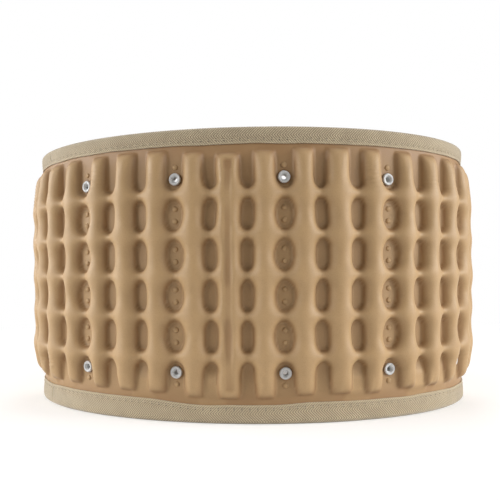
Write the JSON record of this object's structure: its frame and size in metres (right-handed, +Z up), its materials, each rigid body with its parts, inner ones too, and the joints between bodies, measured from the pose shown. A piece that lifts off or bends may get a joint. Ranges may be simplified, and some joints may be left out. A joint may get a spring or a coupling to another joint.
{
  "type": "lumbar support belt",
  "caption": "Air-filled lumbar belt of welded upright tubes, closed into a ring by hook and loop tabs, with taped edges, white eyelets and an air valve.",
  "frame": {"origin": "middle of the closed belt's footprint, on the surface it stands on", "axes": "+Z up along the tubes, -Y out of the lumbar centre, +X towards the right wing as the picture shows it"},
  "size_m": [0.3534, 0.2474, 0.19],
  "materials": {
    "coated_cloth": "tan rubber-coated cloth with a low sheen",
    "woven_tape": "beige herringbone tape, matt",
    "white_plastic": "white gloss plastic",
    "washer_plastic": "white satin plastic",
    "tab_cloth": "tan coated cloth, matt",
    "hook_fastener": "brown nylon hooks",
    "loop_fastener": "tan brushed loop",
    "valve_plastic": "off-white plastic",
    "cap_plastic": "black plastic, satin",
    "seal_rubber": "black rubber",
    "spring_steel": "bright spring steel"
  },
  "bodies": {
    "lumbar": {"eyelet_left_1_bottom": "white_plastic", "eyelet_left_1_top": "white_plastic", "eyelet_left_2_bottom": "white_plastic", "eyelet_left_2_top": "white_plastic", "eyelet_left_3_bottom": "white_plastic", "eyelet_left_3_top": "white_plastic", "eyelet_right_1_bottom": "white_plastic", "eyelet_right_1_top": "white_plastic", "eyelet_right_2_bottom": "white_plastic", "eyelet_right_2_top": "white_plastic", "eyelet_right_3_bottom": "white_plastic", "eyelet_right_3_top": "white_plastic", "lumbar_bottom_tape": "woven_tape", "lumbar_inner_skin": "coated_cloth", "lumbar_outer_skin": "coated_cloth", "lumbar_top_tape": "woven_tape", "washer_left_1_bottom": "washer_plastic", "washer_left_1_top": "washer_plastic", "washer_left_2_bottom": "washer_plastic", "washer_left_2_top": "washer_plastic", "washer_left_3_bottom": "washer_plastic", "washer_left_3_top": "washer_plastic", "washer_right_1_bottom": "washer_plastic", "washer_right_1_top": "washer_plastic", "washer_right_2_bottom": "washer_plastic", "washer_right_2_top": "washer_plastic", "washer_right_3_bottom": "washer_plastic", "washer_right_3_top": "washer_plastic"},
    "left_wing": {"eyelet_left_4_bottom": "white_plastic", "eyelet_left_4_top": "white_plastic", "left_wing_bottom_tape": "woven_tape", "left_wing_inner_skin": "coated_cloth", "left_wing_outer_skin": "coated_cloth", "left_wing_top_tape": "woven_tape", "washer_left_4_bottom": "washer_plastic", "washer_left_4_top": "washer_plastic"},
    "right_wing": {"eyelet_right_4_bottom": "white_plastic", "eyelet_right_4_top": "white_plastic", "right_wing_bottom_tape": "woven_tape", "right_wing_inner_skin": "coated_cloth", "right_wing_outer_skin": "coated_cloth", "right_wing_top_tape": "woven_tape", "valve_body": "valve_plastic", "valve_flange": "coated_cloth", "valve_spring": "spring_steel", "washer_right_4_bottom": "washer_plastic", "washer_right_4_top": "washer_plastic"},
    "left_tab": {"left_tab_bottom_tape": "woven_tape", "left_tab_end_tape": "woven_tape", "left_tab_hook_pad": "hook_fastener", "left_tab_panel": "tab_cloth", "left_tab_top_tape": "woven_tape"},
    "right_tab": {"right_tab_bottom_tape": "woven_tape", "right_tab_end_tape": "woven_tape", "right_tab_loop_pad": "loop_fastener", "right_tab_panel": "tab_cloth", "right_tab_top_tape": "woven_tape"},
    "valve_pin": {"valve_pin": "valve_plastic", "valve_seal": "seal_rubber"},
    "valve_cap": {"valve_cap": "cap_plastic"}
  },
  "joints": [
    {"name": "left_wing_hinge", "type": "hinge", "parent": "lumbar", "child": "left_wing", "pos_m": [-0.16373, -0.02252, 0.095], "axis": [0, 0, 1], "range_deg": [0, 40]},
    {"name": "left_tab_hinge", "type": "hinge", "parent": "left_wing", "child": "left_tab", "pos_m": [-0.12404, 0.08005, 0.095], "axis": [0, 0, 1], "range_deg": [0, 40]},
    {"name": "right_wing_hinge", "type": "hinge", "parent": "lumbar", "child": "right_wing", "pos_m": [0.16373, -0.02252, 0.095], "axis": [0, 0, -1], "range_deg": [-15, 0]},
    {"name": "right_tab_hinge", "type": "hinge", "parent": "right_wing", "child": "right_tab", "pos_m": [0.12404, 0.08005, 0.095], "axis": [0, 0, -1], "range_deg": [-25, 0]},
    {"name": "valve_pin_slide", "type": "slide", "parent": "right_wing", "child": "valve_pin", "axis": [-0.8026, -0.5965, 0], "range_m": [0, 0.0015], "stiffness_N_per_m": 300, "deforming": ["valve_spring"]},
    {"name": "valve_cap_slide", "type": "slide", "parent": "right_wing", "child": "valve_cap", "axis": [0.8026, 0.5965, 0], "range_m": [0, 0.012]}
  ]
}
